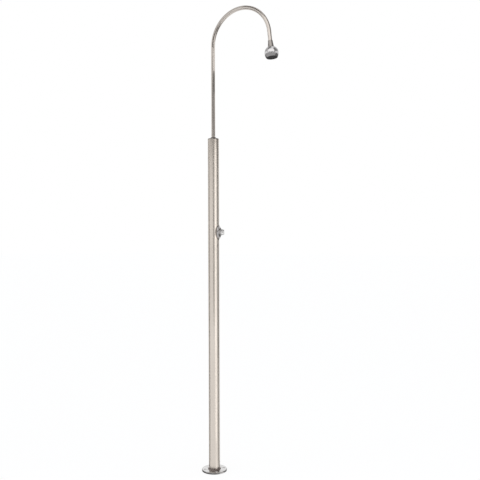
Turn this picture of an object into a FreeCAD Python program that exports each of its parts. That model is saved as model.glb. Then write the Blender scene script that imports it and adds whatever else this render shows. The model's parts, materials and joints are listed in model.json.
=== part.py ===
import FreeCAD, Part
import math
import os
import Sketcher

# An outdoor shower post: a stainless tube on a round foot plate, with a self-closing push valve in its
# side and a gooseneck that carries a ball-shaped head. Millimetres. The origin is on the ground in the
# middle of the foot plate, +Z is up and +X is the way the gooseneck reaches.

SIZES = {
    # Foot plate
    "flange_dia": 120, "flange_thick": 8, "flange_round": 2.5, "flange_bore": 34,
    "spigot_height": 6, "weld_leg": 4,
    "anchor_circle": 92, "anchor_hole": 11, "anchor_count": 4,
    # Post and its cap
    "post_dia": 54, "post_wall": 1.5, "post_top": 1600,
    "cap_thick": 5, "cap_round": 2.5, "cap_seam": 0.6, "cap_spigot": 12, "cap_spigot_wall": 4,
    # Clearances: pieces that are fitted together, that slide, and that pass each other freely
    "fit_gap": 0.1, "slide_gap": 0.08, "free_gap": 0.3,
    # Water tubes inside the post, their union nuts and flat seals
    "tube_dia": 15, "tube_wall": 1, "collar_dia": 18.8, "collar_thick": 2, "washer_thick": 2,
    "washer_bore": 12, "port_dia": 20, "port_bore": 11, "nut_width": 24, "nut_grip": 10, "nut_lip": 4,
    # Inlet in the foot plate
    "inlet_recess": 1, "inlet_thread": 19, "inlet_thread_depth": 14, "inlet_collar_dia": 44,
    "inlet_collar_thick": 5, "inlet_seal_thick": 2, "inlet_port": 12,
    # Push valve in the side of the post
    "valve_height": 1152, "valve_turn": 25.8, "barrel_dia": 28, "barrel_back": 16, "barrel_front": 21,
    "port_reach": 38, "neck_dia": 18, "neck_end": 34.3, "chamber_dia": 13, "chamber_back": 13,
    "outlet_floor": 9.5, "channel_dia": 4, "channel_level": 9.9, "window_place": 14,
    "rosette_dia": 68, "rosette_back": 20, "rosette_rim": 28, "rosette_front": 35.2, "rosette_round": 1.2,
    "rosette_web": 1.8, "gasket_thick": 1, "valve_nut_width": 22, "valve_nut_thick": 4,
    "cartridge_seat": 6, "cartridge_bore": 9, "guide_start": 20, "cartridge_head": 17.2,
    "cartridge_head_thick": 2.2, "window_dia": 3.6, "window_groove": 11, "window_groove_width": 5,
    "stem_dia": 6, "poppet_dia": 10.4, "poppet_thick": 3, "valve_seal_dia": 11.2, "valve_seal_thick": 2.2,
    "ring_section": 1.7, "stem_ring_place": 28.1,
    "button_dia": 34.4, "button_rim": 1.7, "button_shoulder": 29.8, "button_shoulder_place": 39.8,
    "button_end_dia": 22.6, "button_end": 51.3, "button_round": 2, "button_skirt": 0.5,
    "button_travel": 4.5, "button_floor": 46.2, "stem_grip": 3,
    "spring_dia": 12, "spring_wire": 1, "spring_turns": 3.5,
    # Socket in which the gooseneck turns
    "socket_flange_dia": 34, "socket_flange_thick": 4, "socket_thread": 23.2, "socket_thread_reach": 3.6,
    "socket_dia": 25.6, "socket_depth": 45, "socket_port": 12, "pipe_depth": 40,
    "clip_depth": 12, "clip_thick": 1, "clip_step": 0.5, "clip_width": 1.8, "clip_opening": 5,
    "seal_depth_one": 22, "seal_depth_two": 31,
    "spout_collar_dia": 26.4, "spout_collar_height": 5.6, "spout_collar_lip": 1.8, "spout_collar_round": 1,
    # Gooseneck
    "pipe_dia": 19, "pipe_wall": 1.2, "spout_rise": 2049.5, "spout_radius": 156.5, "spout_sweep": 173.5,
    "spout_run": 51,
    # Neck and swivel ball; distances are from the middle of the head
    "neck_low": 29.6, "neck_mid": 46, "neck_high": 59.6, "neck_low_dia": 29.5, "neck_mid_dia": 24.2,
    "neck_high_dia": 22, "pipe_end": 50, "filter_dia": 15.6, "filter_thick": 1.5, "filter_room": 5,
    "filter_hole": 1.8, "filter_circle": 9, "filter_holes": 6,
    "stud_dia": 9, "stud_bore": 5.6, "joint_dia": 18, "joint_cut": 7.5, "seat_thick": 1.2,
    "seat_half_height": 3,
    # Ball-shaped head
    "ball_dia": 66, "ball_wall": 1.6, "ball_cut": 20, "ball_opening": 19.6,
    "lip_dia": 45.6, "lip_top": 14.5, "face_dia": 48, "face_seat": 18, "face_front": 19.4,
    "nozzle_hole": 2.7, "nozzle_dia": 2.2, "nozzle_taper": 6, "nozzle_end": 19.9, "mat_dia": 44,
    "mat_thick": 1.2, "mat_back": 16,
    "socket_barrel_dia": 28, "socket_top": 11.5, "socket_opening": 13.2, "web_top": 9, "web_thick": 2,
    "skirt_wall": 2.5, "retainer_top": 5.5, "retainer_end": 10.5, "retainer_hole": 10,
}
NOZZLE_RINGS = ((7.0, 6), (13.5, 12), (19.5, 18))

doc = FreeCAD.newDocument("outdoor_shower_post")
sheet = doc.addObject("Spreadsheet::Sheet", "Sizes")
for row, (alias, number) in enumerate(SIZES.items(), start=1):
    sheet.set("A%d" % row, str(number))
    sheet.setAlias("A%d" % row, alias)
doc.recompute()


# ---- Sizes and bindings

class Size(float):
    """A number that also knows the expression over the sheet's cells that gives it."""

    def __new__(cls, number, text=None):
        size = super().__new__(cls, number)
        size.text = text or "%.9g" % number
        return size

    def __add__(self, other):
        return Size(float(self) + float(other), "(%s + %s)" % (self.text, as_size(other).text))

    def __radd__(self, other):
        return as_size(other) + self

    def __sub__(self, other):
        return Size(float(self) - float(other), "(%s - %s)" % (self.text, as_size(other).text))

    def __rsub__(self, other):
        return as_size(other) - self

    def __mul__(self, other):
        return Size(float(self) * float(other), "%s * %s" % (self.text, as_size(other).text))

    def __rmul__(self, other):
        return as_size(other) * self

    def __truediv__(self, other):
        return Size(float(self) / float(other), "%s / %s" % (self.text, as_size(other).text))

    def __neg__(self):
        return Size(-float(self), "(0 - %s)" % self.text)


def as_size(value):
    return value if isinstance(value, Size) else Size(value)


def cell(alias):
    return Size(sheet.get(alias), "Sizes." + alias)


def sine(angle):
    return Size(math.sin(math.radians(angle)), "sin(%s)" % angle.text)


def cosine(angle):
    return Size(math.cos(math.radians(angle)), "cos(%s)" % angle.text)


def bind(thing, **sizes):
    for name, size in sizes.items():
        thing.setExpression(name, as_size(size).text)


AXES = {"X": FreeCAD.Vector(1, 0, 0), "Y": FreeCAD.Vector(0, 1, 0), "Z": FreeCAD.Vector(0, 0, 1)}


def place(thing, x=0, y=0, z=0, about="Z", angle=0):
    thing.Placement = FreeCAD.Placement(FreeCAD.Vector(x, y, z), FreeCAD.Rotation(AXES[about], float(angle)))
    bind(thing, **{"Placement.Base.x": x, "Placement.Base.y": y, "Placement.Base.z": z})
    if isinstance(angle, Size):
        bind(thing, **{"Placement.Rotation.Angle": angle})
    return thing


# ---- Ways of making a piece

pieces = []


def piece(thing):
    """Marks a finished piece, which is written out under its label."""
    pieces.append(thing)
    return thing


def plane_of(body, role):
    return [item for item in body.Origin.OriginFeatures if item.Role == role][0]


def new_sketch(body, name, role):
    sketch = body.newObject("Sketcher::SketchObject", name)
    sketch.AttachmentSupport = [(plane_of(body, role), "")]
    sketch.MapMode = "FlatFace"
    return sketch


def hold(sketch, kind, *where):
    """Adds a dimension whose last item is its size, bound to that size's cells."""
    size = as_size(where[-1])
    row = sketch.addConstraint(Sketcher.Constraint(kind, *where[:-1], float(size)))
    bind(sketch, **{"Constraints[%d]" % row: size})


def outline(sketch, points):
    """Draws a closed outline, each corner held by its distances from the origin. The edges are straight,
    but after a corner marked "domed" the edge is an arc about a point on the sketch's first axis."""
    corners = [FreeCAD.Vector(point[0], point[1], 0) for point in points]
    ends = []
    for i, corner in enumerate(corners):
        after = corners[(i + 1) % len(corners)]
        if len(points[i]) == 2:
            sketch.addGeometry(Part.LineSegment(corner, after), False)
            ends.append((1, 2))
            continue
        middle = FreeCAD.Vector((after.Length ** 2 - corner.Length ** 2) / (after.x - corner.x) / 2, 0, 0)
        low, high = sorted(math.atan2(end.y, end.x - middle.x) for end in (corner, after))
        round_it = Part.Circle(middle, AXES["Z"], (corner - middle).Length)
        arc = sketch.addGeometry(Part.ArcOfCircle(round_it, low, high), False)
        sketch.addConstraint(Sketcher.Constraint("PointOnObject", arc, 3, -1))
        ends.append((1, 2) if corner.x > after.x else (2, 1))
    for i, point in enumerate(points):
        after = (i + 1) % len(points)
        sketch.addConstraint(Sketcher.Constraint("Coincident", i, ends[i][1], after, ends[after][0]))
        hold(sketch, "DistanceX", -1, 1, i, ends[i][0], point[0])
        hold(sketch, "DistanceY", -1, 1, i, ends[i][0], point[1])


def circle(sketch, x, y, radius):
    index = sketch.addGeometry(Part.Circle(FreeCAD.Vector(x, y, 0), AXES["Z"], float(radius)), False)
    hold(sketch, "DistanceX", -1, 1, index, 3, x)
    hold(sketch, "DistanceY", -1, 1, index, 3, y)
    hold(sketch, "Radius", index, radius)


def profile(body, name, corners, along):
    """A sketch on the XZ plane of corners given as (distance along the axis, radius)."""
    sketch = new_sketch(body, name, "XZ_Plane")
    outline(sketch, corners if along == "X" else [(radius, distance) for distance, radius in corners])
    return sketch, (sketch, ["H_Axis" if along == "X" else "V_Axis"])


def turned(label, corners, along="Z"):
    """A piece turned on a lathe from its profile."""
    body = doc.addObject("PartDesign::Body", label)
    turning = body.newObject("PartDesign::Revolution", label + "_turning")
    turning.Profile, turning.ReferenceAxis = profile(body, label + "_profile", corners, along)
    turning.Angle = 360
    body.Tip = turning
    return body


def groove(body, name, corners, along="Z"):
    cut = body.newObject("PartDesign::Groove", name)
    cut.Profile, cut.ReferenceAxis = profile(body, name + "_profile", corners, along)
    cut.Angle = 360
    body.Tip = cut


def ring_of(body, feature, count, axis):
    """Repeats a feature round an axis of its sketch."""
    pattern = body.newObject("PartDesign::PolarPattern", feature.Name + "_ring")
    pattern.Originals = [feature]
    pattern.Axis = axis
    pattern.Angle = 360
    bind(pattern, Occurrences=count)
    body.Tip = pattern


def rounded(body, radius, edge_radius, distance, along="Z"):
    """Rounds the circular edge of this radius at this distance along the piece's axis."""
    doc.recompute()
    base = body.Tip
    names = []
    for i, edge in enumerate(base.Shape.Edges, start=1):
        curve = edge.Curve
        if curve.TypeId == "Part::GeomCircle" and abs(curve.Radius - edge_radius) < 1e-4:
            if abs(curve.Center.dot(AXES[along]) - distance) < 1e-4:
                names.append("Edge%d" % i)
    fillet = body.newObject("PartDesign::Fillet", "%s_round_%d" % (body.Name, len(body.Group)))
    fillet.Base = (base, names)
    bind(fillet, Radius=radius)
    body.Tip = fillet


def rod(label, radius, start, end, along="Z", x=0, y=0):
    """A cylinder from start to end along an axis; x and y shift one that stands along Z."""
    cylinder = doc.addObject("Part::Cylinder", label)
    bind(cylinder, Radius=radius, Height=end - start)
    if along == "X":
        return place(cylinder, x=start, y=y, z=x, about="Y", angle=90)
    return place(cylinder, x=x, y=y, z=start)


def ball(label, radius):
    sphere = doc.addObject("Part::Sphere", label)
    bind(sphere, Radius=radius)
    return sphere


def hexagon(label, width, start, end, along="Z"):
    prism = doc.addObject("Part::Prism", label)
    prism.Polygon = 6
    bind(prism, Circumradius=width / math.sqrt(3), Height=end - start)
    if along == "X":
        return place(prism, x=start, about="Y", angle=90)
    return place(prism, z=start)


def doughnut(label, radius, section, distance, along="Z"):
    torus = doc.addObject("Part::Torus", label)
    bind(torus, Radius1=radius, Radius2=section / 2)
    if along == "X":
        return place(torus, x=distance, about="Y", angle=90)
    return place(torus, z=distance)


def joined(label, *parts):
    union = doc.addObject("Part::MultiFuse", label)
    union.Shapes = list(parts)
    return union


def minus(label, base, *tools):
    cut = doc.addObject("Part::Cut", label)
    cut.Base = base
    cut.Tool = tools[0] if len(tools) == 1 else joined(label + "_tools", *tools)
    return cut


def shared(label, first, second):
    common = doc.addObject("Part::Common", label)
    common.Base = first
    common.Tool = second
    return common


def group(label, *parts):
    compound = doc.addObject("Part::Compound", label)
    compound.Links = list(parts)
    return compound


fit_gap, slide_gap, free_gap = cell("fit_gap"), cell("slide_gap"), cell("free_gap")


# ---- Foot plate: a turned disc with a spigot that centres the post and the weld round it

post_radius = cell("post_dia") / 2
post_inside = post_radius - cell("post_wall")
flange_top = cell("flange_thick")
flange_bore = cell("flange_bore") / 2
spigot_top = flange_top + cell("spigot_height")

base_flange = piece(turned("base_flange", [
    (0, flange_bore),
    (0, cell("flange_dia") / 2),
    (flange_top, cell("flange_dia") / 2),
    (flange_top, post_radius + cell("weld_leg")),
    (flange_top + cell("weld_leg"), post_radius),
    (flange_top, post_radius),
    (flange_top, post_inside - fit_gap),
    (spigot_top, post_inside - fit_gap),
    (spigot_top, flange_bore),
]))
rounded(base_flange, cell("flange_round"), cell("flange_dia") / 2, flange_top)

anchor_sketch = new_sketch(base_flange, "anchor_hole_sketch", "XY_Plane")
anchor_offset = cell("anchor_circle") / 2 * math.sqrt(0.5)
circle(anchor_sketch, anchor_offset, anchor_offset, cell("anchor_hole") / 2)
anchor_holes = base_flange.newObject("PartDesign::Pocket", "anchor_holes")
anchor_holes.Profile = anchor_sketch
anchor_holes.Type = "ThroughAll"
anchor_holes.Reversed = True
ring_of(base_flange, anchor_holes, cell("anchor_count"), (anchor_sketch, ["N_Axis"]))


# ---- Inlet: a brass fitting through the foot plate, threaded inside for the supply from the ground

collar_under = spigot_top + cell("inlet_seal_thick")
collar_over = collar_under + cell("inlet_collar_thick")
inlet_face = collar_over + cell("inlet_port")
thread_end = cell("inlet_recess") + cell("inlet_thread_depth")

piece(turned("inlet_adaptor", [
    (cell("inlet_recess"), cell("inlet_thread") / 2),
    (cell("inlet_recess"), flange_bore - fit_gap),
    (collar_under, flange_bore - fit_gap),
    (collar_under, cell("inlet_collar_dia") / 2),
    (collar_over, cell("inlet_collar_dia") / 2),
    (collar_over, cell("port_dia") / 2),
    (inlet_face, cell("port_dia") / 2),
    (inlet_face, cell("port_bore") / 2),
    (thread_end, cell("port_bore") / 2),
    (thread_end, cell("inlet_thread") / 2),
]))
piece(turned("inlet_seal", [
    (spigot_top, flange_bore),
    (spigot_top, cell("inlet_collar_dia") / 2),
    (collar_under, cell("inlet_collar_dia") / 2),
    (collar_under, flange_bore),
]))


# ---- Water tubes: each has a collar at both ends, which a union nut pulls on to a flat seal

def union(name, face, tube_side):
    """The nut and the seal that hold a tube to the port that ends at face; tube_side is up or down."""
    end = face + tube_side * (cell("washer_thick") + cell("collar_thick"))
    lip = end + tube_side * cell("nut_lip")
    root = face - tube_side * cell("nut_grip")
    low, high = (root, lip) if tube_side > 0 else (lip, root)
    wide_low, wide_high = (root, end) if tube_side > 0 else (end, root)
    nut = minus(
        name + "_nut", hexagon(name + "_nut_blank", cell("nut_width"), low, high),
        rod(name + "_nut_thread", cell("port_dia") / 2 + fit_gap, wide_low, wide_high),
        rod(name + "_nut_hole", cell("tube_dia") / 2 + fit_gap, low, high))
    seal_low, seal_high = sorted((face, face + tube_side * cell("washer_thick")))
    seal = minus(
        name + "_washer", rod(name + "_washer_blank", cell("collar_dia") / 2, seal_low, seal_high),
        rod(name + "_washer_hole", cell("washer_bore") / 2, seal_low, seal_high))
    return nut, seal


def water_tube(label, lower_face, upper_face):
    low = lower_face + cell("washer_thick")
    high = upper_face - cell("washer_thick")
    bore = cell("tube_dia") / 2 - cell("tube_wall")
    tube, collar = cell("tube_dia") / 2, cell("collar_dia") / 2
    return turned(label, [
        (low, bore), (low, collar), (low + cell("collar_thick"), collar), (low + cell("collar_thick"), tube),
        (high - cell("collar_thick"), tube), (high - cell("collar_thick"), collar), (high, collar), (high, bore),
    ])


valve_height = cell("valve_height")
post_top = cell("post_top")
socket_face = post_top - cell("socket_depth") - cell("socket_port")
for line, lower_face, upper_face in (
        ("supply", inlet_face, valve_height - cell("port_reach")),
        ("riser", valve_height + cell("port_reach"), socket_face)):
    piece(water_tube(line + "_tube", lower_face, upper_face))
    lower_nut, lower_seal = union(line + "_lower", lower_face, 1)
    upper_nut, upper_seal = union(line + "_upper", upper_face, -1)
    piece(group(line + "_union_nuts", lower_nut, upper_nut))
    piece(group(line + "_washers", lower_seal, upper_seal))


# ---- Post: a plain tube with one hole for the neck of the valve

valve_turn = cell("valve_turn")
neck_radius = cell("neck_dia") / 2
neck_hole = neck_radius + free_gap

post_tube = piece(turned("post_tube", [
    (flange_top, post_inside), (flange_top, post_radius), (post_top, post_radius), (post_top, post_inside)]))
hole_sketch = new_sketch(post_tube, "valve_hole_sketch", "YZ_Plane")
circle(hole_sketch, 0, valve_height, neck_hole)
valve_hole = post_tube.newObject("PartDesign::Pocket", "valve_hole")
valve_hole.Profile = hole_sketch
valve_hole.Reversed = True
bind(valve_hole, Length=post_radius + free_gap)
post_tube.Tip = valve_hole
place(post_tube, angle=valve_turn)


# ---- Cap: turned, with a spigot in the post, a seam where it meets the post and a rounded rim

cap_top = post_top + cell("cap_thick")
thread_radius = cell("socket_thread") / 2
spigot_inside = post_inside - fit_gap - cell("cap_spigot_wall")

post_cap = piece(turned("post_cap", [
    (post_top - cell("cap_spigot"), spigot_inside),
    (post_top - cell("cap_spigot"), post_inside - fit_gap),
    (post_top, post_inside - fit_gap),
    (post_top, post_radius - cell("cap_seam")),
    (post_top + cell("cap_seam"), post_radius),
    (cap_top, post_radius),
    (cap_top, thread_radius + fit_gap),
    (post_top, thread_radius + fit_gap),
    (post_top, spigot_inside),
]))
rounded(post_cap, cell("cap_round"), post_radius, cap_top)


# ---- Spout socket: a bush clamped in the cap, in which the gooseneck turns on two rubber rings

pipe_radius = cell("pipe_dia") / 2
socket_bore = pipe_radius + slide_gap
ring_section = cell("ring_section")
ring_floor = socket_bore + ring_section + slide_gap
ring_room = ring_section + 4 * slide_gap
clip_outside = pipe_radius - cell("clip_step") + cell("clip_width")
clip_low = post_top - cell("clip_depth")
clip_high = clip_low + cell("clip_thick")
thread_top = cap_top + cell("socket_thread_reach")
pipe_floor = post_top - cell("pipe_depth")
socket_low = post_top - cell("socket_depth")

socket_profile = [
    (socket_face, cell("port_bore") / 2),
    (socket_face, cell("port_dia") / 2),
    (socket_low, cell("port_dia") / 2),
    (socket_low, cell("socket_dia") / 2),
    (post_top - cell("socket_flange_thick"), cell("socket_dia") / 2),
    (post_top - cell("socket_flange_thick"), cell("socket_flange_dia") / 2),
    (post_top, cell("socket_flange_dia") / 2),
    (post_top, thread_radius),
    (thread_top, thread_radius),
    (thread_top, socket_bore),
    (clip_high + fit_gap, socket_bore),
    (clip_high + fit_gap, clip_outside + fit_gap),
    (clip_low - fit_gap, clip_outside + fit_gap),
    (clip_low - fit_gap, socket_bore),
]
for depth in (cell("seal_depth_one"), cell("seal_depth_two")):
    middle = post_top - depth
    socket_profile += [
        (middle + ring_room / 2, socket_bore), (middle + ring_room / 2, ring_floor),
        (middle - ring_room / 2, ring_floor), (middle - ring_room / 2, socket_bore)]
socket_profile += [(pipe_floor, socket_bore), (pipe_floor, cell("port_bore") / 2)]
piece(turned("spout_socket", socket_profile))

ring_radius = socket_bore + ring_section / 2
piece(group("spout_seals", *[
    doughnut("spout_seal_%d" % number, ring_radius, ring_section, post_top - depth)
    for number, depth in enumerate((cell("seal_depth_one"), cell("seal_depth_two")), start=1)]))

collar_top = cap_top + cell("spout_collar_height")
spout_collar = piece(turned("spout_collar", [
    (cap_top, thread_radius + fit_gap),
    (cap_top, cell("spout_collar_dia") / 2),
    (collar_top, cell("spout_collar_dia") / 2),
    (collar_top, pipe_radius + free_gap),
    (collar_top - cell("spout_collar_lip"), pipe_radius + free_gap),
    (collar_top - cell("spout_collar_lip"), thread_radius + fit_gap),
]))
rounded(spout_collar, cell("spout_collar_round"), cell("spout_collar_dia") / 2, collar_top)

clip_opening = doc.addObject("Part::Box", "clip_opening")
bind(clip_opening, Length=clip_outside + fit_gap, Width=cell("clip_opening"), Height=cell("clip_thick"))
place(clip_opening, y=-(cell("clip_opening") / 2), z=clip_low)
piece(minus(
    "spout_clip", rod("clip_blank", clip_outside, clip_low, clip_high),
    rod("clip_bore", pipe_radius - cell("clip_step") + fit_gap, clip_low, clip_high), clip_opening))


# ---- Gooseneck: one tube, straight out of the post, bent round an arc, and straight again to the head

pipe_start = pipe_floor + free_gap
rise = cell("spout_rise") - pipe_start
bend, sweep, run = cell("spout_radius"), cell("spout_sweep"), cell("spout_run")
bend_end_x = bend * (1 - cosine(sweep))
bend_end_z = rise + bend * sine(sweep)

gooseneck_pipe = piece(doc.addObject("PartDesign::Body", "gooseneck_pipe"))
path = new_sketch(gooseneck_pipe, "gooseneck_path", "XZ_Plane")
path.addGeometry(Part.LineSegment(FreeCAD.Vector(0, 0, 0), FreeCAD.Vector(0, rise, 0)), False)
path.addGeometry(Part.ArcOfCircle(
    Part.Circle(FreeCAD.Vector(bend, rise, 0), AXES["Z"], float(bend)),
    math.pi - math.radians(sweep), math.pi), False)
path.addGeometry(Part.LineSegment(
    FreeCAD.Vector(bend_end_x, bend_end_z, 0),
    FreeCAD.Vector(bend_end_x + run * sine(sweep), bend_end_z + run * cosine(sweep), 0)), False)
path.addConstraint(Sketcher.Constraint("Coincident", 0, 1, -1, 1))
path.addConstraint(Sketcher.Constraint("PointOnObject", 0, 2, -2))
path.addConstraint(Sketcher.Constraint("Coincident", 0, 2, 1, 2))
path.addConstraint(Sketcher.Constraint("Coincident", 1, 1, 2, 1))
hold(path, "DistanceY", -1, 1, 0, 2, rise)
hold(path, "DistanceX", -1, 1, 1, 3, bend)
hold(path, "DistanceY", -1, 1, 1, 3, rise)
hold(path, "DistanceX", -1, 1, 1, 1, bend_end_x)
hold(path, "DistanceX", -1, 1, 2, 2, bend_end_x + run * sine(sweep))
hold(path, "DistanceY", -1, 1, 2, 2, bend_end_z + run * cosine(sweep))
wall_sketch = new_sketch(gooseneck_pipe, "gooseneck_section", "XY_Plane")
circle(wall_sketch, 0, 0, pipe_radius)
circle(wall_sketch, 0, 0, pipe_radius - cell("pipe_wall"))
sweeping = gooseneck_pipe.newObject("PartDesign::AdditivePipe", "gooseneck_sweep")
sweeping.Profile = wall_sketch
sweeping.Spine = (path, ["Edge1", "Edge2", "Edge3"])
gooseneck_pipe.Tip = sweeping
groove(gooseneck_pipe, "clip_groove", [
    (clip_low - fit_gap - pipe_start, pipe_radius - cell("clip_step")),
    (clip_high + fit_gap - pipe_start, pipe_radius - cell("clip_step")),
    (clip_high + fit_gap - pipe_start, pipe_radius + 1),
    (clip_low - fit_gap - pipe_start, pipe_radius + 1),
])
place(gooseneck_pipe, z=pipe_start)


# ---- Where the head's middle lies, on the line of the gooseneck's end, and how the head leans

head_reach = run + cell("pipe_end")
head_x = bend_end_x + head_reach * sine(sweep)
head_z = pipe_start + bend_end_z + head_reach * cosine(sweep)


def at_head(thing):
    return piece(place(thing, x=head_x, z=head_z, about="Y", angle=sweep - 180))


# ---- Neck: a flared cone on the pipe's end, hollow for the filter, seated on the head's ball

stud_radius = cell("stud_dia") / 2
filter_seat = cell("pipe_end") - cell("filter_room")
filter_radius = cell("filter_dia") / 2
ball_radius = cell("ball_dia") / 2

neck_blank = turned("neck_blank", [
    (cell("neck_low") - cell("seat_thick"), stud_radius),
    (cell("neck_low") - cell("seat_thick"), cell("neck_low_dia") / 2),
    (cell("neck_low"), cell("neck_low_dia") / 2),
    (cell("neck_mid"), cell("neck_mid_dia") / 2),
    (cell("neck_high"), cell("neck_high_dia") / 2),
    (cell("neck_high"), pipe_radius),
    (cell("pipe_end"), pipe_radius),
    (cell("pipe_end"), filter_radius + fit_gap),
    (filter_seat, filter_radius + fit_gap),
    (filter_seat, stud_radius),
])
at_head(minus("neck_cone", neck_blank, ball("neck_seat", ball_radius + free_gap)))

filter_screen = turned("filter_screen", [
    (filter_seat, 0), (filter_seat, filter_radius),
    (filter_seat + cell("filter_thick"), filter_radius), (filter_seat + cell("filter_thick"), 0)])
mesh_sketch = new_sketch(filter_screen, "filter_hole_sketch", "XY_Plane")
circle(mesh_sketch, cell("filter_circle") / 2, 0, cell("filter_hole") / 2)
mesh_holes = filter_screen.newObject("PartDesign::Pocket", "filter_holes")
mesh_holes.Profile = mesh_sketch
mesh_holes.Type = "ThroughAll"
mesh_holes.Reversed = True
ring_of(filter_screen, mesh_holes, cell("filter_holes"), (mesh_sketch, ["N_Axis"]))
at_head(filter_screen)


# ---- Swivel ball: a hollow stud screwed into the neck, with a ball in the middle of the head

joint_radius = cell("joint_dia") / 2
at_head(minus(
    "swivel_ball",
    joined("swivel_blank", ball("swivel_sphere", joint_radius), rod("swivel_stud", stud_radius, 0, filter_seat)),
    rod("swivel_bore", cell("stud_bore") / 2, -joint_radius, filter_seat),
    rod("swivel_flat", joint_radius, -joint_radius - 1, -cell("joint_cut"))))

seat_inside = joint_radius + fit_gap
seat_outside = seat_inside + cell("seat_thick")
socket_room = seat_outside + fit_gap
seat_height = cell("seat_half_height")
at_head(minus(
    "seat_ring",
    shared("seat_blank", ball("seat_sphere", seat_outside),
           rod("seat_slab", seat_outside + 1, -seat_height, seat_height)),
    ball("seat_hollow", seat_inside)))


# ---- Ball socket: takes the swivel ball from below, with the water room and the skirt under it

web_top, web_under = -cell("web_top"), -cell("web_top") - cell("web_thick")
mat_top = -cell("mat_back") + cell("mat_thick")
mat_radius = cell("mat_dia") / 2
at_head(minus(
    "ball_socket",
    turned("ball_socket_blank", [
        (cell("socket_top"), 0),
        (cell("socket_top"), cell("socket_barrel_dia") / 2),
        (web_top, cell("socket_barrel_dia") / 2),
        (web_top, mat_radius),
        (mat_top, mat_radius),
        (mat_top, mat_radius - cell("skirt_wall")),
        (web_under, mat_radius - cell("skirt_wall")),
        (web_under, 0),
    ]),
    ball("socket_hollow", socket_room),
    rod("socket_entry", socket_room, web_under - 1, 0),
    rod("socket_opening", cell("socket_opening") / 2, 0, cell("socket_top") + 1)))

retainer_radius = socket_room - fit_gap
at_head(minus(
    "ball_retainer",
    rod("retainer_blank", retainer_radius, -cell("retainer_end"), -cell("retainer_top")),
    ball("retainer_hollow", joint_radius + free_gap),
    rod("retainer_hole", cell("retainer_hole") / 2, -cell("retainer_end") - 1, -cell("retainer_top"))))


# ---- Spray face: a rubber mat whose nozzles stand through the holes of the face plate

face_seat, face_front = -cell("face_seat"), -cell("face_front")
spray_plate = turned("spray_plate", [
    (face_front, 0),
    (face_front, cell("face_dia") / 2 - free_gap),
    (face_seat, cell("face_dia") / 2 - free_gap),
    (face_seat, cell("lip_dia") / 2 - free_gap),
    (-cell("mat_back"), cell("lip_dia") / 2 - free_gap),
    (-cell("mat_back"), 0),
])
nozzle_mat = turned("nozzle_mat", [
    (-cell("mat_back"), 0), (-cell("mat_back"), mat_radius), (mat_top, mat_radius), (mat_top, 0)])
for number, (radius, count) in enumerate(NOZZLE_RINGS, start=1):
    hole_sketch = new_sketch(spray_plate, "face_hole_sketch_%d" % number, "XY_Plane")
    circle(hole_sketch, radius, 0, cell("nozzle_hole") / 2)
    face_holes = spray_plate.newObject("PartDesign::Pocket", "face_holes_%d" % number)
    face_holes.Profile = hole_sketch
    face_holes.Type = "ThroughAll"
    ring_of(spray_plate, face_holes, count, (hole_sketch, ["N_Axis"]))

    nozzle_sketch = new_sketch(nozzle_mat, "nozzle_sketch_%d" % number, "XY_Plane")
    circle(nozzle_sketch, radius, 0, cell("nozzle_dia") / 2)
    bind(nozzle_sketch, **{"AttachmentOffset.Base.z": -cell("mat_back")})
    nozzles = nozzle_mat.newObject("PartDesign::Pad", "nozzles_%d" % number)
    nozzles.Profile = nozzle_sketch
    nozzles.Reversed = True
    bind(nozzles, Length=cell("nozzle_end") - cell("mat_back"), TaperAngle=-cell("nozzle_taper"))
    ring_of(nozzle_mat, nozzles, count, (nozzle_sketch, ["N_Axis"]))
at_head(spray_plate)
at_head(nozzle_mat)


# ---- Head shell: a hollow ball cut flat at the spray face, open at the top for the swivel stud

inside_radius = ball_radius - cell("ball_wall")
lip_top, cut_level = -cell("lip_top"), -cell("ball_cut")
at_head(minus(
    "head_shell", ball("shell_sphere", ball_radius),
    shared("shell_hollow", ball("shell_inside", inside_radius),
           rod("shell_slab", ball_radius, lip_top, ball_radius)),
    rod("shell_lip_bore", cell("lip_dia") / 2, cut_level, lip_top + 1),
    rod("shell_face_recess", cell("face_dia") / 2, cut_level, face_seat),
    rod("shell_cut", ball_radius, -ball_radius - 1, cut_level),
    rod("shell_opening", cell("ball_opening") / 2, ball_radius / 2, ball_radius + 1)))


# ---- Push valve, made along X from the middle of the post and then turned to its side of the post

def at_valve(thing):
    return piece(place(thing, z=valve_height, angle=valve_turn))


barrel = cell("barrel_dia") / 2
barrel_front = cell("barrel_front")
chamber = cell("chamber_dia") / 2
channel = cell("channel_dia") / 2
port, port_bore, port_reach = cell("port_dia") / 2, cell("port_bore") / 2, cell("port_reach")
neck_end = cell("neck_end")
level, window_place = cell("channel_level"), cell("window_place")
at_valve(minus(
    "valve_body",
    joined(
        "valve_blank",
        rod("valve_barrel", barrel, -cell("barrel_back"), barrel_front, "X"),
        rod("valve_neck", neck_radius, 0, neck_end, "X"),
        rod("valve_ports", port, -port_reach, port_reach)),
    rod("valve_chamber", chamber, -cell("chamber_back"), neck_end, "X"),
    rod("valve_inlet", port_bore, -port_reach, 0),
    rod("valve_outlet", port_bore, cell("outlet_floor"), port_reach),
    rod("valve_channel", channel, 0, window_place, "X", x=level),
    rod("valve_drop", channel, 0, level, x=window_place)))
at_valve(minus(
    "saddle_seal",
    shared("saddle_seal_blank", rod("saddle_seal_disc", barrel, barrel_front, post_radius, "X"),
           rod("saddle_seal_curve", post_inside, -barrel, barrel)),
    rod("saddle_seal_hole", neck_radius + fit_gap, barrel_front, post_radius, "X")))

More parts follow.
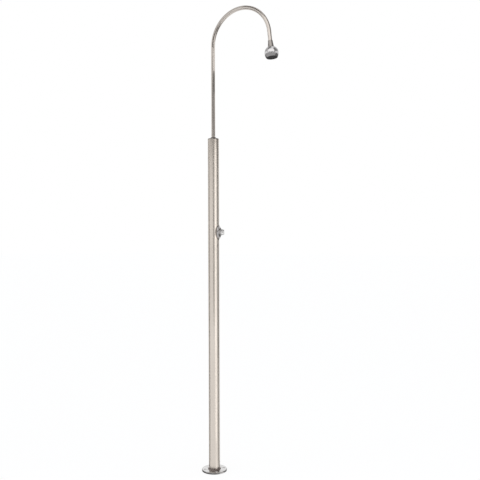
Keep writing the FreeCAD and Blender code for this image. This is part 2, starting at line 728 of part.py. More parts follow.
rosette_radius = cell("rosette_dia") / 2
rosette_back, rosette_front = cell("rosette_back"), cell("rosette_front")
saddle_radius = post_radius + cell("gasket_thick")
web_front = saddle_radius + cell("rosette_web")
button_radius = cell("button_dia") / 2
gasket_radius = rosette_radius - cell("gasket_thick")
at_valve(minus(
    "rosette_gasket",
    shared("gasket_blank", rod("gasket_disc", gasket_radius, rosette_back, saddle_radius, "X"),
           rod("gasket_curve", saddle_radius, -rosette_radius, rosette_radius)),
    rod("gasket_post", post_radius, -rosette_radius, rosette_radius),
    rod("gasket_hole", neck_hole, 0, saddle_radius, "X")))

well_radius = button_radius + cell("button_skirt") - fit_gap
rosette_blank = turned("rosette_blank", [
    (rosette_back, neck_hole),
    (rosette_back, rosette_radius),
    (cell("rosette_rim"), rosette_radius, "domed"),
    (rosette_front, well_radius),
    (web_front, well_radius),
    (web_front, neck_hole),
], along="X")
rounded(rosette_blank, cell("rosette_round"), rosette_radius, cell("rosette_rim"), along="X")
at_valve(minus(
    "valve_rosette", rosette_blank, rod("rosette_saddle", saddle_radius, -rosette_radius, rosette_radius)))

nut_front = web_front + cell("valve_nut_thick")
at_valve(minus(
    "valve_nut", hexagon("valve_nut_blank", cell("valve_nut_width"), web_front, nut_front, "X"),
    rod("valve_nut_thread", neck_radius + fit_gap / 2, web_front, nut_front, "X")))


# ---- Cartridge: guides the stem, holds its rubber ring and ends in the seat that the stem closes

stem = cell("stem_dia") / 2
guide = stem + slide_gap
seat = cell("cartridge_seat")
head_front = neck_end + cell("cartridge_head_thick")
ring_place = cell("stem_ring_place")
stem_ring_floor = guide + ring_section + slide_gap
groove_half = cell("window_groove_width") / 2
cartridge = turned("valve_cartridge", [
    (seat, cell("cartridge_bore") / 2),
    (seat, chamber - fit_gap),
    (window_place - groove_half, chamber - fit_gap),
    (window_place - groove_half, cell("window_groove") / 2),
    (window_place + groove_half, cell("window_groove") / 2),
    (window_place + groove_half, chamber - fit_gap),
    (neck_end, chamber - fit_gap),
    (neck_end, cell("cartridge_head") / 2),
    (head_front, cell("cartridge_head") / 2),
    (head_front, guide),
    (ring_place + ring_room / 2, guide),
    (ring_place + ring_room / 2, stem_ring_floor),
    (ring_place - ring_room / 2, stem_ring_floor),
    (ring_place - ring_room / 2, guide),
    (cell("guide_start"), guide),
    (cell("guide_start"), cell("cartridge_bore") / 2),
], along="X")
window_sketch = new_sketch(cartridge, "window_sketch", "XY_Plane")
circle(window_sketch, window_place, 0, cell("window_dia") / 2)
windows = cartridge.newObject("PartDesign::Pocket", "windows")
windows.Profile = window_sketch
windows.Type = "ThroughAll"
windows.Reversed = True
ring_of(cartridge, windows, 4, (window_sketch, ["H_Axis"]))
at_valve(cartridge)
at_valve(group("stem_seal", doughnut("stem_ring", guide + ring_section / 2, ring_section, ring_place, "X")))


# ---- Button: a bell pressed towards the post, screwed on the stem, and sprung against the cartridge

skirt_end = rosette_front - cell("button_skirt")
button_end = cell("button_end")
cavity_depth = nut_front + cell("button_travel") + free_gap
head_room = head_front + cell("button_travel") + free_gap
button_floor = cell("button_floor")
push_button = turned("push_button", [
    (skirt_end, cell("valve_nut_width") / math.sqrt(3) + 2 * free_gap),
    (skirt_end, button_radius),
    (skirt_end + cell("button_rim"), button_radius),
    (cell("button_shoulder_place"), cell("button_shoulder") / 2),
    (button_end, cell("button_end_dia") / 2),
    (button_end, 0),
    (button_floor + cell("stem_grip"), 0),
    (button_floor + cell("stem_grip"), stem),
    (button_floor, stem),
    (button_floor, cell("spring_dia") / 2 + cell("spring_wire") + free_gap),
    (head_room, cell("spring_dia") / 2 + cell("spring_wire") + free_gap),
    (head_room, cell("cartridge_head") / 2 + 2 * free_gap),
    (cavity_depth, cell("cartridge_head") / 2 + 2 * free_gap),
    (cavity_depth, cell("valve_nut_width") / math.sqrt(3) + 2 * free_gap),
], along="X")
rounded(push_button, cell("button_round"), cell("button_end_dia") / 2, button_end, along="X")
rounded(push_button, cell("button_round"), cell("button_shoulder") / 2, cell("button_shoulder_place"), along="X")
at_valve(push_button)

poppet_back = seat - cell("valve_seal_thick") - cell("poppet_thick")
at_valve(turned("plunger_stem", [
    (poppet_back, 0),
    (poppet_back, cell("poppet_dia") / 2),
    (seat - cell("valve_seal_thick"), cell("poppet_dia") / 2),
    (seat - cell("valve_seal_thick"), stem),
    (button_floor + cell("stem_grip"), stem),
    (button_floor + cell("stem_grip"), 0),
], along="X"))
at_valve(turned("plunger_seal", [
    (seat - cell("valve_seal_thick"), stem),
    (seat - cell("valve_seal_thick"), cell("valve_seal_dia") / 2),
    (seat, cell("valve_seal_dia") / 2),
    (seat, stem),
], along="X"))

wire = cell("spring_wire") / 2
spring_start = head_front + wire + slide_gap
spring_length = button_floor - wire - slide_gap - spring_start
spring_coil = cell("spring_dia") / 2
steps = int(round(cell("spring_turns") * 12))
sections = []
for step in range(steps + 1):
    turn = 360.0 * cell("spring_turns") / steps * step
    section = doc.addObject("Part::RegularPolygon", "spring_section_%d" % step)
    section.Polygon = 8
    bind(section, Circumradius=wire)
    place(section, x=spring_coil * math.cos(math.radians(turn)), y=spring_coil * math.sin(math.radians(turn)),
          z=spring_length * (step / steps))
    section.Placement.Rotation = FreeCAD.Rotation(AXES["Z"], float(turn)) * FreeCAD.Rotation(AXES["X"], 90)
    sections.append(section)
coil = doc.addObject("Part::Loft", "spring_coil")
coil.Sections = sections
coil.Solid = True
coil.Ruled = True
place(coil, x=spring_start, about="Y", angle=90)
at_valve(group("return_spring", coil))


# ---- Check and write out

doc.recompute()
for thing in doc.Objects:
    if "Invalid" in thing.State or "Error" in thing.State:
        raise RuntimeError("%s failed: %s" % (thing.Label, thing.State))
os.makedirs("parts", exist_ok=True)
for thing in pieces:
    if thing.Shape.isNull() or not thing.Shape.isValid() or not thing.Shape.Solids:
        raise RuntimeError("%s has no valid solid" % thing.Label)
for thing in pieces:
    thing.Shape.exportStep("parts/%s.step" % thing.Label)
    print("%-20s %d solid, %.1f mm3" % (thing.Label, len(thing.Shape.Solids), thing.Shape.Volume))
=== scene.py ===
import json
import math

import bmesh
import bpy
import numpy as np
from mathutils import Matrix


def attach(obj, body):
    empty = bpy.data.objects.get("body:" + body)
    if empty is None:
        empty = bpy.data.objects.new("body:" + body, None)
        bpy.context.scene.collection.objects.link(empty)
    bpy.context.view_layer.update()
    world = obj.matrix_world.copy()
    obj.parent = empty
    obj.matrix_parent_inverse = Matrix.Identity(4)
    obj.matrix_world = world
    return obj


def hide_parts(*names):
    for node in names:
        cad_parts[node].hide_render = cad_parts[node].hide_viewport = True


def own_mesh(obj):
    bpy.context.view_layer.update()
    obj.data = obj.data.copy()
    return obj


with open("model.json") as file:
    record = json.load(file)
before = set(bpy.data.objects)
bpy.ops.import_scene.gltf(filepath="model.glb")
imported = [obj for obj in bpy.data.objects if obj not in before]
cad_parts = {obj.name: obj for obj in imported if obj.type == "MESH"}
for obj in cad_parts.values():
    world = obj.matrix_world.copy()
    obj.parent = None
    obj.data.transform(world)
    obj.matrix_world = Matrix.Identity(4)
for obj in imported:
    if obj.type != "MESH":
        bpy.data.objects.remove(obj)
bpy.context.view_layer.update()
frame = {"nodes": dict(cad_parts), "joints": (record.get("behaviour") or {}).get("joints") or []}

nodes = frame["nodes"]


# ---------------------------------------------------------------------------------------------------
# Foot plate: a round stainless plate 8 mm thick, turned on a lathe, with four holes for the ground
# anchors. Its top shows the fine rings of the turning tool, and handling has left it a little cloudy.
# Its edge and the outer rim of its top are painted darker, as a painted dark reflection.

def add(owner, kind, **settings):
    """One shader node of that kind in a material or a world, with its settings."""
    made = owner.node_tree.nodes.new(kind)
    for setting, value in settings.items():
        setattr(made, setting, value)
    return made


def link(owner, start, end):
    """Joins one node's output to another's input."""
    owner.node_tree.links.new(start, end)


def place(material):
    """The piece's own coordinates, in metres."""
    return add(material, "ShaderNodeTexCoord").outputs["Object"]


def pattern(material, stretch, detail=3.0, distortion=0.0):
    """Noise between 0 and 1, with stretch cycles a metre along X, Y and Z."""
    mapping = add(material, "ShaderNodeMapping")
    mapping.inputs["Scale"].default_value = stretch
    noise = add(material, "ShaderNodeTexNoise")
    noise.inputs["Scale"].default_value = 1.0
    noise.inputs["Detail"].default_value = detail
    noise.inputs["Distortion"].default_value = distortion
    link(material, place(material), mapping.inputs["Vector"])
    link(material, mapping.outputs["Vector"], noise.inputs["Vector"])
    return noise.outputs["Fac"]


def spread(material, source, low, high, start=0.3, end=0.7):
    """The source, which runs from start to end, spread over low to high."""
    spreading = add(material, "ShaderNodeMapRange")
    link(material, source, spreading.inputs["Value"])
    ends = {"From Min": start, "From Max": end, "To Min": low, "To Max": high}
    for socket, value in ends.items():
        spreading.inputs[socket].default_value = value
    return spreading.outputs["Result"]


def blended(material, amount, first, second):
    """A colour that goes from first to second; each is a colour or another node's output."""
    mix = add(material, "ShaderNodeMix", data_type="RGBA")
    link(material, amount, mix.inputs["Factor"])
    for socket, value in ((mix.inputs[6], first), (mix.inputs[7], second)):
        if isinstance(value, tuple):
            socket.default_value = (*value, 1.0)
        else:
            link(material, value, socket)
    return mix.outputs[2]


def sockets(material):
    """The inputs of the material's shader."""
    return material.node_tree.nodes["Principled BSDF"].inputs


def new_material(name):
    """A material, and the inputs of its shader."""
    material = bpy.data.materials.new(name)
    material.use_nodes = True
    return material, sockets(material)


def relief(material, height, depth, strength):
    """Raises and sinks the surface by up to depth metres where height goes from 0 to 1, with strength
    as the share of it that shows."""
    bump = add(material, "ShaderNodeBump")
    bump.inputs["Strength"].default_value = strength
    bump.inputs["Distance"].default_value = depth
    link(material, height, bump.inputs["Height"])
    link(material, bump.outputs["Normal"], sockets(material)["Normal"])


def tint(material, amount, tone):
    """Turns the colour that the material has towards another tone, as far as amount says."""
    colour = sockets(material)["Base Color"]
    link(material, blended(material, amount, colour.links[0].from_socket, tone), colour)


def steel(name, bright, dull, roughness, grain, depth=0.0, cloud=(14.0, 14.0, 5.0), combed=0.0):
    """Ground or polished metal: grain is the stretch of its polishing lines, which are so deep, and
    cloud that of the faint patches that handling and water leave. Both change its gloss and colour,
    half each. Lines that run round the Z axis comb its reflections up and down, as far as combed says,
    from 0 to 1."""
    material, shader = new_material(name)
    shader["Metallic"].default_value = 1.0
    lines = pattern(material, grain, detail=4.0)
    patches = pattern(material, cloud, detail=5.0, distortion=0.4)
    half = 0.5
    both = add(material, "ShaderNodeMath", operation="MULTIPLY_ADD")
    link(material, lines, both.inputs[0])
    both.inputs[1].default_value = half
    link(material, spread(material, patches, 0.0, half), both.inputs[2])
    usual = {"start": 0.25, "end": 0.75}
    tone = blended(material, spread(material, both.outputs[0], 0.0, 1.0, **usual), bright, dull)
    link(material, tone, shader["Base Color"])
    smoothest, roughest = roughness * 0.82, roughness * 1.2
    gloss = spread(material, both.outputs[0], smoothest, roughest, **usual)
    link(material, gloss, shader["Roughness"])
    if depth:
        relief(material, lines, depth, strength=0.6)
    if combed:
        shader["Anisotropic"].default_value = combed
        tangent = add(material, "ShaderNodeTangent", direction_type="RADIAL", axis="Z")
        link(material, tangent.outputs["Tangent"], shader["Tangent"])
    return material


def dress(material, *names):
    """Gives CAD nodes their finish."""
    for name in names:
        nodes[name].data.materials.clear()
        nodes[name].data.materials.append(material)


def radius_from_axis(material):
    """How far out from the Z axis a point of the piece lies, in metres."""
    level = add(material, "ShaderNodeVectorMath", operation="MULTIPLY")
    level.inputs[1].default_value = (1.0, 1.0, 0.0)
    link(material, place(material), level.inputs[0])
    length = add(material, "ShaderNodeVectorMath", operation="LENGTH")
    link(material, level.outputs["Vector"], length.inputs[0])
    return length.outputs["Value"]


ring_scale, ring_waver, ring_detail = 420.0, 0.6, 2.0
ring_depth = 0.00001
painted_rim_shade_tone = (0.40, 0.39, 0.385)
painted_rim_shade_start, painted_rim_shade_end = 0.0568, 0.0584

plate_steel = steel(
    "turned_plate_steel", bright=(0.75, 0.742, 0.738), dull=(0.65, 0.642, 0.636), roughness=0.22,
    grain=(60.0, 60.0, 900.0), cloud=(30.0, 30.0, 30.0))
rings = add(plate_steel, "ShaderNodeTexWave", wave_type="RINGS", rings_direction="Z")
rings.inputs["Scale"].default_value = ring_scale
rings.inputs["Distortion"].default_value = ring_waver
rings.inputs["Detail"].default_value = ring_detail
link(plate_steel, place(plate_steel), rings.inputs["Vector"])
relief(plate_steel, rings.outputs["Fac"], ring_depth, strength=0.5)
# Painted shade: the edge and the outer millimetres of the top turn darker, a painted dark reflection.
edge = spread(plate_steel, radius_from_axis(plate_steel), 0.0, 1.0, painted_rim_shade_start, painted_rim_shade_end)
tint(plate_steel, edge, painted_rim_shade_tone)
dress(plate_steel, "base_flange")


# ---------------------------------------------------------------------------------------------------
# Weld round the foot of the post: a bead of filler metal laid in short overlapping pools, darker than
# the plate because the heat has stained it. It lies in the corner between the plate and the tube.

plate_top = 0.008
post_radius = 0.027
bead_leg = 0.0044
bead_sunk = 0.0002
bead_bulge, pool_swell = 0.00035, 0.00022
bead_pools, pool_lag = 96, 0.7
bead_around, bead_across = 1152, 13


def grid_piece(name, points, wrap_rows=False, wrap_columns=False):
    """A piece from a grid of points: rows close on the first row where wrap_rows is true, and columns
    on the first column where wrap_columns is true."""
    rows, columns = points.shape[:2]
    i, j = np.meshgrid(np.arange(rows if wrap_rows else rows - 1),
                       np.arange(columns if wrap_columns else columns - 1), indexing="ij")
    i, j = i.ravel(), j.ravel()
    k, m = (i + 1) % rows, (j + 1) % columns
    quads = np.stack([i * columns + j, k * columns + j, k * columns + m, i * columns + m], axis=1)
    mesh = bpy.data.meshes.new(name)
    mesh.from_pydata(points.reshape(-1, 3).tolist(), [], quads.tolist())
    mesh.polygons.foreach_set("use_smooth", np.ones(len(quads), bool))
    mesh.update()
    piece = bpy.data.objects.new(name, mesh)
    bpy.context.scene.collection.objects.link(piece)
    return piece


def weld_bead(around, across):
    """Round the post, the section is a fillet: a corner a little inside plate and tube, and a bulged
    face between the ends of its two legs. The face swells and sinks as |sin| of half the pool's angle,
    and each pool is pushed forward in the middle of the face, so its edge is a crescent."""
    turn = np.linspace(0.0, 2.0 * np.pi, around, endpoint=False)[:, None]
    face = np.linspace(0.0, 1.0, across)[None, :]
    lag = pool_lag * np.sin(np.pi * face)
    pool = np.abs(np.sin(0.5 * bead_pools * turn + lag))
    swell = (bead_bulge + pool_swell * pool) * np.sin(np.pi * face)
    radius = post_radius + bead_leg * (1.0 - face) + swell * math.sqrt(0.5)
    height = plate_top + bead_leg * face + swell * math.sqrt(0.5)
    radius = np.concatenate([radius, np.full_like(turn, post_radius - bead_sunk)], axis=1)
    height = np.concatenate([height, np.full_like(turn, plate_top - bead_sunk)], axis=1)
    return np.stack([radius * np.cos(turn), radius * np.sin(turn), height], axis=2)


weld_steel = steel(
    "heat_stained_weld", bright=(0.30, 0.26, 0.24), dull=(0.16, 0.13, 0.12), roughness=0.38,
    grain=(700.0, 700.0, 700.0), depth=0.00004, cloud=(60.0, 60.0, 60.0))
bead = grid_piece("weld_bead", weld_bead(bead_around, bead_across), wrap_rows=True, wrap_columns=True)
bead.data.materials.append(weld_steel)
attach(bead, "post")


# ---------------------------------------------------------------------------------------------------
# Post: a 54 mm stainless tube with a satin finish from a grinding belt that ran round it, so its lines
# are level and its reflections run up and down. Its foot is darker: partly the heat stain of the weld,
# partly painted shade in the corner where it meets the plate.

stain_and_shade_tone = (0.13, 0.095, 0.09)
stain_and_shade_start, stain_and_shade_end = 0.010, 0.021

post_steel = steel(
    "belt_ground_post_steel", bright=(0.70, 0.64, 0.58), dull=(0.63, 0.57, 0.51), roughness=0.24,
    grain=(30.0, 30.0, 2600.0), depth=0.000003, cloud=(9.0, 9.0, 2.2), combed=0.7)
split = add(post_steel, "ShaderNodeSeparateXYZ")
link(post_steel, place(post_steel), split.inputs["Vector"])
# The foot turns darker up to 21 mm: partly heat stain, partly painted shade in the corner by the plate.
stain_and_shade = spread(post_steel, split.outputs["Z"], 1.0, 0.0, stain_and_shade_start, stain_and_shade_end)
tint(post_steel, stain_and_shade, stain_and_shade_tone)
dress(post_steel, "post_tube")


# ---------------------------------------------------------------------------------------------------
# Cap of the post: turned from bar, with its edge rounded over. It closes the tube and holds the socket
# in which the gooseneck turns.

cap_steel = steel(
    "turned_cap_steel", bright=(0.39, 0.36, 0.335), dull=(0.335, 0.305, 0.28), roughness=0.24,
    grain=(60.0, 60.0, 2600.0), depth=0.000003)
dress(cap_steel, "post_cap")


# ---------------------------------------------------------------------------------------------------
# Water tubes, fittings and seals inside the post: drawn steel tube, machined brass and black rubber.
# They are hidden except for the inlet, which shows from below in the middle of the plate.

tube_steel = steel(
    "drawn_tube_steel", bright=(0.62, 0.61, 0.60), dull=(0.50, 0.49, 0.48), roughness=0.28,
    grain=(900.0, 900.0, 12.0), depth=0.00002)
dress(tube_steel, "supply_tube", "riser_tube", "plunger_stem", "spout_clip", "swivel_ball")

brass = steel(
    "machined_brass", bright=(0.78, 0.58, 0.27), dull=(0.62, 0.43, 0.17), roughness=0.26,
    grain=(80.0, 80.0, 1800.0), depth=0.00002, cloud=(40.0, 40.0, 40.0))
dress(brass, "inlet_adaptor", "supply_union_nuts", "riser_union_nuts", "valve_body", "valve_nut",
      "valve_cartridge", "spout_socket")


def moulding(name, pale, dark, roughness, grain, depth):
    """Moulded rubber or plastic with the fine matt grain of its mould, grain specks to the metre."""
    material, shader = new_material(name)
    speckle = pattern(material, (grain, grain, grain))
    link(material, blended(material, speckle, pale, dark), shader["Base Color"])
    smoothest, roughest = roughness * 0.85, roughness * 1.15
    link(material, spread(material, speckle, smoothest, roughest), shader["Roughness"])
    shader["Specular IOR Level"].default_value = 0.3
    relief(material, speckle, depth, strength=0.5)
    return material


seal_rubber = moulding(
    "black_seal_rubber", pale=(0.035, 0.035, 0.036), dark=(0.02, 0.02, 0.02), roughness=0.55,
    grain=900.0, depth=0.00003)
dress(seal_rubber, "inlet_seal", "supply_washers", "riser_washers", "saddle_seal", "rosette_gasket",
      "stem_seal", "plunger_seal", "spout_seals")


# ---------------------------------------------------------------------------------------------------
# Push valve: a round cover saddled to the post and a bell-shaped button, both plated and polished.
# The plating is smooth and neutral in colour, with the faint haze of dried water.

# The cover's plating is painted darker than the button's: painted shade round the button.
rosette_painted_shade_plating = steel(
    "polished_rosette_plating_with_painted_shade", bright=(0.44, 0.425, 0.42), dull=(0.37, 0.355, 0.35), roughness=0.14,
    grain=(300.0, 300.0, 300.0), depth=0.000004, cloud=(60.0, 60.0, 60.0))
dress(rosette_painted_shade_plating, "valve_rosette")

button_plating = steel(
    "polished_button_plating", bright=(0.57, 0.565, 0.56), dull=(0.50, 0.495, 0.49), roughness=0.14,
    grain=(300.0, 300.0, 300.0), depth=0.000004, cloud=(60.0, 60.0, 60.0))
dress(button_plating, "push_button")


# ---------------------------------------------------------------------------------------------------
# Return spring of the valve: three and a half turns of 1 mm wire round the valve's stem, between the
# guide's head and the button, which presses it together when it is pushed.

press = next(joint for joint in frame["joints"] if joint["name"] == "button_press")
valve_outward = np.array([-part for part in press["axis"]])    # the joint's own axis points inwards
valve_height = 1.152
spring_inner, spring_outer = 0.03658, 0.04612
coil_radius, wire_radius = 0.006, 0.0005
coil_turns = 3.5
spring_rings, spring_sides = 127, 12


def coil_spring(rings, sides):
    """A round wire carried along a helix about the valve's level axis. The helix starts and ends one
    wire's radius inside the spring's two ends, and each ring of points lies in a plane through the
    axis."""
    sideways = np.array([-valve_outward[1], valve_outward[0], 0.0])
    upward = np.array([0.0, 0.0, 1.0])
    turn = np.linspace(0.0, 2.0 * np.pi * coil_turns, rings)[:, None, None]
    along = np.linspace(spring_inner + wire_radius, spring_outer - wire_radius, rings)[:, None, None]
    bearing = np.linspace(0.0, 2.0 * np.pi, sides, endpoint=False)[None, :, None]
    spoke = np.cos(turn) * sideways + np.sin(turn) * upward
    middle = along * valve_outward + coil_radius * spoke + valve_height * upward
    return middle + wire_radius * (np.cos(bearing) * spoke + np.sin(bearing) * valve_outward)


def close_ends(piece):
    """Fills the open ends of a tube of faces, and turns all its faces outwards."""
    shape = bmesh.new()
    shape.from_mesh(piece.data)
    bmesh.ops.holes_fill(shape, edges=[edge for edge in shape.edges if edge.is_boundary])
    bmesh.ops.recalc_face_normals(shape, faces=shape.faces)
    shape.to_mesh(piece.data)
    shape.free()


spring = grid_piece("valve_spring", coil_spring(spring_rings, spring_sides), wrap_columns=True)
close_ends(spring)
spring.data.materials.append(tube_steel)
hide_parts("return_spring")
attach(spring, "post")
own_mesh(spring)


# ---------------------------------------------------------------------------------------------------
# Gooseneck: one 19 mm tube, bent cold, with a semi-bright finish drawn along its length. The small
# collar nut at its foot is turned from bar.

pipe_steel = steel(
    "bright_pipe_steel", bright=(0.64, 0.59, 0.545), dull=(0.57, 0.525, 0.485), roughness=0.15,
    grain=(1500.0, 1500.0, 1500.0), depth=0.000002, cloud=(20.0, 20.0, 8.0))
dress(pipe_steel, "gooseneck_pipe")

# The collar is painted almost black: painted shade for the shadowed groove at the pipe's foot.
collar_painted_shade_steel = steel(
    "turned_collar_steel_with_painted_shade", bright=(0.09, 0.082, 0.08), dull=(0.065, 0.06, 0.057), roughness=0.24,
    grain=(60.0, 60.0, 2400.0), depth=0.000003)
dress(collar_painted_shade_steel, "spout_collar")


# ---------------------------------------------------------------------------------------------------
# Neck and ball of the head: a turned cone on the pipe's end, and a spun ball with a soft polish that
# turns on a joint in its middle.

neck_steel = steel(
    "turned_neck_steel", bright=(0.38, 0.355, 0.335), dull=(0.32, 0.30, 0.28), roughness=0.24,
    grain=(60.0, 60.0, 1800.0), depth=0.000004)
dress(neck_steel, "neck_cone")

ball_plating = steel(
    "satin_ball_plating", bright=(0.68, 0.672, 0.676), dull=(0.60, 0.592, 0.596), roughness=0.17,
    grain=(90.0, 90.0, 1500.0), depth=0.000004, cloud=(45.0, 45.0, 45.0))
dress(ball_plating, "head_shell")


# ---------------------------------------------------------------------------------------------------
# Spray face: a dark plastic plate with soft rubber nozzles standing through it. Inside, the socket and
# the rings of the ball joint are moulded in grey plastic.

face_plastic = moulding(
    "dark_face_plastic", pale=(0.058, 0.055, 0.055), dark=(0.042, 0.040, 0.040), roughness=0.42,
    grain=1200.0, depth=0.00002)
dress(face_plastic, "spray_plate")

nozzle_rubber = moulding(
    "soft_nozzle_rubber", pale=(0.035, 0.035, 0.037), dark=(0.025, 0.025, 0.026), roughness=0.6,
    grain=1500.0, depth=0.00002)
dress(nozzle_rubber, "nozzle_mat")

grey_plastic = moulding(
    "grey_joint_plastic", pale=(0.12, 0.12, 0.12), dark=(0.09, 0.09, 0.09), roughness=0.45,
    grain=800.0, depth=0.00002)
dress(grey_plastic, "ball_socket", "ball_retainer", "seat_ring", "filter_screen")


# ---------------------------------------------------------------------------------------------------
# Camera: three metres off at chest height, turned 31.8 degrees about the post, and level. Its lens is
# long enough for the post to fill the picture from foot to arch.

camera_turn = math.radians(31.8)
camera_roll = math.radians(0.2)
camera_distance, camera_aside, camera_height = 3.01, 0.1275, 1.114
sensor_width, lens_length = 36.0, 46.6
farthest = 100.0
backwards = np.array([math.sin(camera_turn), -math.cos(camera_turn), 0.0])
rightwards = np.array([math.cos(camera_turn), math.sin(camera_turn), 0.0])

camera_data = bpy.data.cameras.new("camera")
camera_data.sensor_width = sensor_width
camera_data.lens = lens_length
camera_data.clip_end = farthest
camera = bpy.data.objects.new("camera", camera_data)
stand = camera_distance * backwards + camera_aside * rightwards
camera.location = stand + np.array([0.0, 0.0, camera_height])
camera.rotation_euler = (math.radians(90.0), camera_roll, camera_turn)
bpy.context.scene.collection.objects.link(camera)
bpy.context.scene.camera = camera
bpy.context.scene.view_settings.view_transform = "Standard"


# ---------------------------------------------------------------------------------------------------
# White room: the world and a plain pale floor. The camera, mirrors and glass see white there, and what
# lights the object is dimmer, so the floor keeps the object's shadow.

room_tone, room_strength = (0.95, 0.97, 1.0, 1.0), 0.85
floor_tone, floor_roughness, floor_specular = (0.9, 0.9, 0.9, 1.0), 0.8, 0.1
floor_share, floor_brightness = 0.82, 1.05
floor_half = 40.0


def seen_white(owner, end, kind, share, brightness):
    """Mixes plain white, from a shader of that kind, into what the camera, mirrors and glass see of a
    material or world, and leaves what lights the object. The mix goes in before its end node."""
    surface = owner.node_tree.nodes[end].inputs["Surface"]
    lit = surface.links[0].from_socket
    path = add(owner, "ShaderNodeLightPath")
    seen = path.outputs["Is Camera Ray"]
    for ray in ("Is Glossy Ray", "Is Transmission Ray"):
        either = add(owner, "ShaderNodeMath", operation="MAXIMUM")
        link(owner, seen, either.inputs[0])
        link(owner, path.outputs[ray], either.inputs[1])
        seen = either.outputs[0]
    amount = add(owner, "ShaderNodeMath", operation="MULTIPLY")
    amount.inputs[1].default_value = share
    link(owner, seen, amount.inputs[0])
    white = add(owner, kind)
    white.inputs["Color"].default_value = (1.0, 1.0, 1.0, 1.0)
    white.inputs["Strength"].default_value = brightness
    mix = add(owner, "ShaderNodeMixShader")
    link(owner, amount.outputs[0], mix.inputs[0])
    link(owner, lit, mix.inputs[1])
    link(owner, white.outputs[0], mix.inputs[2])
    link(owner, mix.outputs[0], surface)


world = bpy.data.worlds.new("studio")
world.use_nodes = True
bpy.context.scene.world = world
room = world.node_tree.nodes["Background"]
room.inputs["Color"].default_value = room_tone
room.inputs["Strength"].default_value = room_strength
seen_white(world, "World Output", "ShaderNodeBackground", share=1.0, brightness=1.0)

pale_floor, floor_shader = new_material("pale_floor")
floor_shader["Base Color"].default_value = floor_tone
floor_shader["Roughness"].default_value = floor_roughness
floor_shader["Specular IOR Level"].default_value = floor_specular
seen_white(pale_floor, "Material Output", "ShaderNodeEmission", floor_share, floor_brightness)
floor_mesh = bpy.data.meshes.new("floor")
floor_corners = [(x * floor_half, y * floor_half, 0.0) for x, y in ((-1, -1), (1, -1), (1, 1), (-1, 1))]
floor_mesh.from_pydata(floor_corners, [], [(0, 1, 2, 3)])
floor = bpy.data.objects.new("floor", floor_mesh)
floor.data.materials.append(pale_floor)
bpy.context.scene.collection.objects.link(floor)


# ---------------------------------------------------------------------------------------------------
# Studio sheets: dark flags, pale cards and strips of light that metal mirrors as its stripes. They are
# curved round the post, or round the head or the valve, and only mirrors see them.

sheet_tone = (1.0, 0.99, 0.985, 1.0)
degrees_per_strip = 2
over_floor = 0.001


def direction(angle):
    """Level direction from the post that lies at these degrees to the right of the camera."""
    angle = np.radians(angle)
    return np.cos(angle)[..., None] * backwards + np.sin(angle)[..., None] * rightwards


def mirrored(name, points, glow):
    """A sheet of the studio that only metal sees: it lights nothing and stands in no picture. Its glow
    is its brightness in a mirror, where the white room has 1."""
    piece = grid_piece(name, points)
    shade, shader = new_material(name + "_shade")
    shader["Base Color"].default_value = (0.0, 0.0, 0.0, 1.0)
    shader["Specular IOR Level"].default_value = 0.0
    shader["Emission Color"].default_value = sheet_tone
    shader["Emission Strength"].default_value = glow
    piece.data.materials.append(shade)
    piece.visible_camera = False
    piece.visible_diffuse = False
    piece.visible_transmission = False
    piece.visible_shadow = False


def sheet(name, start, end, stations, glow, middle=(0.0, 0.0)):
    """A sheet that goes round the post, or round another middle, from one direction to another. Its
    stations are pairs of a distance and a height, from its inner or lower edge to the other one."""
    strips = math.ceil(abs(end - start) / degrees_per_strip)
    turn = direction(np.linspace(start, end, 1 + strips))
    points = [distance * turn + np.array([*middle, height]) for distance, height in stations]
    mirrored(name, np.stack(points, axis=1), glow)


def upright(name, start, end, distance, low, high, glow, middle=(0.0, 0.0)):
    """An upright sheet at one distance, between two heights."""
    sheet(name, start, end, [(distance, low), (distance, high)], glow, middle)


def lying(name, start, end, near, far, glow):
    """A sheet that lies just over the floor, between two distances."""
    sheet(name, start, end, [(near, over_floor), (far, over_floor)], glow)


# The post and the foot plate: a dark edge on each side, a grey line, a bright stripe and a dark rim.
rim, ring_edge = 0.0605, 0.08
flag_distance, flag_top = 2.8, 2.1
strip_distance, strip_top = 0.5, 1.7
left_flag = [(rim, over_floor), (flag_distance, over_floor), (flag_distance, flag_top)]
sheet("flag_left", -118, -91, left_flag, glow=0.24)
upright("flag_middle", -6, 13, 3.3, 0.35, flag_top, glow=0.20)
upright("strip_light", 32, 52, strip_distance, 0.0, strip_top, glow=1.9)
lying("strip_light_on_floor", 32, 52, rim, strip_distance, glow=1.30)
upright("flag_right", 83, 118, flag_distance, 0.0, flag_top, glow=0.16)
upright("flag_right_top", 76, 122, 2.75, 1.86, 2.15, glow=0.08)
lying("flag_right_on_floor", 83, 118, ring_edge, flag_distance, glow=0.33)
# Painted shadow: dark rings on the floor round the plate, seen only in mirrors, stand in for the
# object's shadow there.
lying("painted_shadow_ring_left", -180, 28, rim, ring_edge, glow=0.10)
lying("painted_shadow_ring_right", 58, 180, rim, ring_edge, glow=0.10)

# The pipe: far bands behind the camera, which its straight rise mirrors one above the other.
far_off = 12.0
upright("band_low", -75, 60, far_off, 3.4, 4.65, glow=0.33)
upright("band_dark", -75, 60, far_off, 4.65, 5.22, glow=0.18)
upright("band_high", -20, 60, far_off, 5.8, 6.9, glow=0.30)
upright("band_high_right", 60, 100, far_off, 5.8, 6.9, glow=0.85)

# The ball of the head: near screens round it, and a cover outside that hides them from the pipe.
head = (0.312, 0.0)
near_by, cover = 0.20, 0.206
upright("screen_left", -111, 60, near_by, 1.745, 1.943, glow=0.42, middle=head)
upright("screen_right", 60, 118, near_by, 1.707, 1.943, glow=0.16, middle=head)
upright("screen_behind", 134, 240, near_by, 1.660, 1.885, glow=0.10, middle=head)
upright("screen_light", -60, 40, near_by, 2.010, 2.160, glow=1.28, middle=head)
upright("screen_outside_low", -180, 180, cover, 1.655, 1.855, glow=0.42, middle=head)
upright("screen_outside_high", -180, 180, cover, 1.855, 1.96, glow=0.20, middle=head)

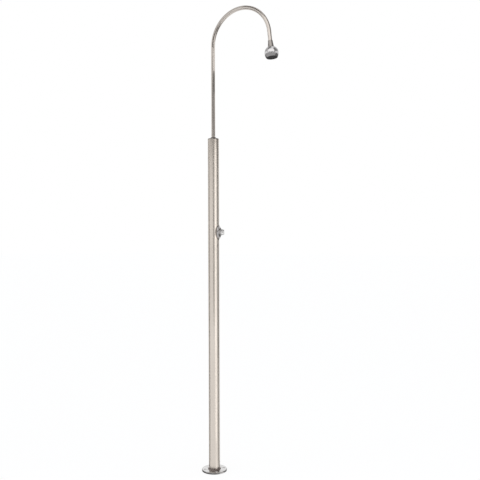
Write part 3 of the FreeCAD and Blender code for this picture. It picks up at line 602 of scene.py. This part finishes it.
# The top of the arch: a dark sheet that lies over it.
sheet("screen_over_arch", -60, 40, [(0.03, 2.32), (0.22, 2.32)], glow=0.15, middle=(0.156, 0.0))

# The valve: dark above and below its cover and button, and pale between.
valve = (0.0315, 0.0152)
valve_flag, valve_card = 0.045, 0.070
upright("valve_flag_over", 105, 165, valve_flag, 1.168, 1.185, glow=0.06, middle=valve)
upright("valve_card", 75, 165, valve_card, 1.134, 1.170, glow=1.0, middle=valve)
upright("valve_flag_under", 105, 165, valve_flag, 1.115, 1.136, glow=0.06, middle=valve)

# The bend: a dark patch at its left, and high walls and a light that its upper side mirrors.
wall_foot, wall_top = 7.3, 34.0
upright("flag_at_bend", -40, 50, 0.14, 2.088, 2.114, glow=0.05)
upright("wall_behind", 110, 295, far_off, wall_foot, wall_top, glow=0.65)
upright("wall_right", 42, 110, far_off, wall_foot, wall_top, glow=0.25)
upright("light_above", -60, 40, 6.0, 5.0, 12.0, glow=1.22)


# ---------------------------------------------------------------------------------------------------
# Lamps: three softboxes, a main one to the right, a weak one to the left and one above. They light the
# floor and all that isn't metal, and mirrors don't show them.

aim_height = 1.1


def softbox(name, angle, distance, height, width, tall, glow):
    """A soft lamp at these degrees to the right of the camera, turned to the middle of the post."""
    lamp = bpy.data.lights.new(name, "AREA")
    lamp.shape = "RECTANGLE"
    lamp.size = width
    lamp.size_y = tall
    lamp.energy = glow * math.pi * width * tall
    thing = bpy.data.objects.new(name, lamp)
    where = distance * direction(np.array(float(angle)))
    thing.location = (where[0], where[1], height)
    tilt = math.atan2(distance, aim_height - height)
    thing.rotation_euler = (tilt, 0.0, math.atan2(where[0], -where[1]))
    thing.visible_camera = False
    thing.visible_glossy = False
    bpy.context.scene.collection.objects.link(thing)


softbox("lamp_right", angle=42, distance=2.9, height=1.3, width=1.3, tall=2.6, glow=0.55)
softbox("lamp_left", angle=-52, distance=3.0, height=1.4, width=1.6, tall=2.4, glow=0.10)
softbox("lamp_above", angle=-4, distance=2.0, height=4.2, width=1.4, tall=1.4, glow=0.9)
